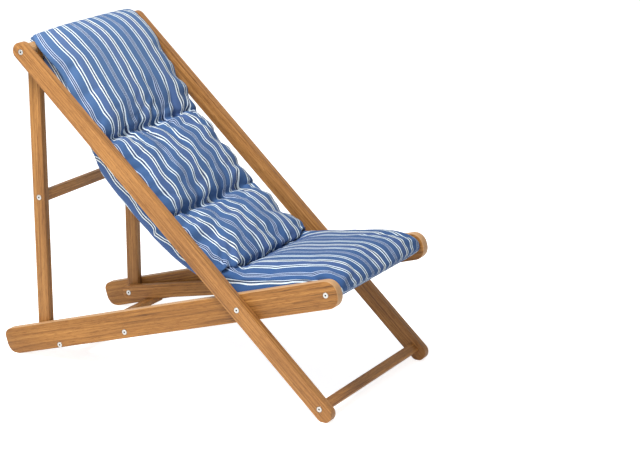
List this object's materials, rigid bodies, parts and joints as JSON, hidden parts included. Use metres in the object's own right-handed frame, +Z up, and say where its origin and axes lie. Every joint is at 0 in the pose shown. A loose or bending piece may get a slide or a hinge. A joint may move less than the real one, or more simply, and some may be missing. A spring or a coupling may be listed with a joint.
{
  "type": "folding sling deck chair",
  "caption": "Low folding wooden deck chair: crossed seat and back rails, prop legs on stays, and a padded striped sling between two bars.",
  "frame": {"origin": "on the floor, under the middle of the open chair", "axes": "+X is the front of the chair, where the sitter's legs are, +Y the sitter's left, +Z up"},
  "size_m": [1.1528, 0.6012, 0.9724],
  "materials": {
    "wood": "oiled",
    "pale_wood": "oiled",
    "bolt_steel": "satin",
    "insert_brass": "plain",
    "washer_nylon": "matt",
    "striped_sling": "striped woven cotton"
  },
  "bodies": {
    "seat_frame": {"seat_rail_right": "wood", "seat_rail_left": "wood", "front_bar": "wood", "front_bar_insert_right": "insert_brass", "front_bar_insert_left": "insert_brass", "front_bar_bolt_right": "bolt_steel", "front_bar_bolt_left": "bolt_steel", "rear_stretcher": "wood", "rear_stretcher_insert_right": "insert_brass", "rear_stretcher_insert_left": "insert_brass", "rear_stretcher_bolt_right": "bolt_steel", "rear_stretcher_bolt_left": "bolt_steel", "stay_pivot_bolt_right": "bolt_steel", "stay_pivot_bolt_left": "bolt_steel", "stay_pivot_nut_right": "bolt_steel", "stay_pivot_nut_left": "bolt_steel", "stay_pivot_bush_right": "bolt_steel", "stay_pivot_bush_left": "bolt_steel", "sling_seat": "striped_sling"},
    "back_frame": {"back_rail_right": "wood", "back_rail_left": "wood", "head_bolt_right": "bolt_steel", "head_bolt_left": "bolt_steel", "main_pivot_bolt_right": "bolt_steel", "main_pivot_bolt_left": "bolt_steel", "main_pivot_nut_right": "bolt_steel", "main_pivot_nut_left": "bolt_steel", "main_pivot_washer_right": "washer_nylon", "main_pivot_washer_left": "washer_nylon", "foot_stretcher": "wood", "foot_stretcher_insert_right": "insert_brass", "foot_stretcher_insert_left": "insert_brass", "foot_stretcher_bolt_right": "bolt_steel", "foot_stretcher_bolt_left": "bolt_steel", "sling_back": "striped_sling"},
    "stays": {"stay_right": "wood", "stay_left": "wood", "leg_pivot_bolt_right": "bolt_steel", "leg_pivot_bolt_left": "bolt_steel", "leg_pivot_nut_right": "bolt_steel", "leg_pivot_nut_left": "bolt_steel", "leg_pivot_washer_right": "washer_nylon", "leg_pivot_washer_left": "washer_nylon"},
    "prop": {"prop_leg_right": "wood", "prop_leg_left": "wood", "head_bar": "wood", "head_insert_right": "insert_brass", "head_insert_left": "insert_brass", "head_pin_right": "bolt_steel", "head_pin_left": "bolt_steel", "head_spacer_right": "pale_wood", "head_spacer_left": "pale_wood", "prop_stretcher": "wood", "prop_stretcher_insert_right": "insert_brass", "prop_stretcher_insert_left": "insert_brass", "prop_stretcher_bolt_right": "bolt_steel", "prop_stretcher_bolt_left": "bolt_steel"}
  },
  "joints": [
    {"name": "back_fold", "type": "hinge", "parent": "seat_frame", "child": "back_frame", "pos_m": [0.25781, 0, 0.27826], "axis": [0, -1, 0], "range_deg": [0, 58.5], "deforming": ["sling_back", "sling_seat"]},
    {"name": "stay_fold", "type": "hinge", "parent": "seat_frame", "child": "stays", "pos_m": [-0.14044, 0, 0.13555], "axis": [0, 1, 0], "range_deg": [0, 168.1]},
    {"name": "prop_fold", "type": "hinge", "parent": "stays", "child": "prop", "pos_m": [-0.45164, 0, 0.06917], "axis": [0, -1, 0], "range_deg": [0, 274.86]}
  ],
  "couplings": [
    {"joint": "stay_fold", "follows": "back_fold", "ratio": 2.8733},
    {"joint": "prop_fold", "follows": "back_fold", "ratio": 4.6983}
  ]
}
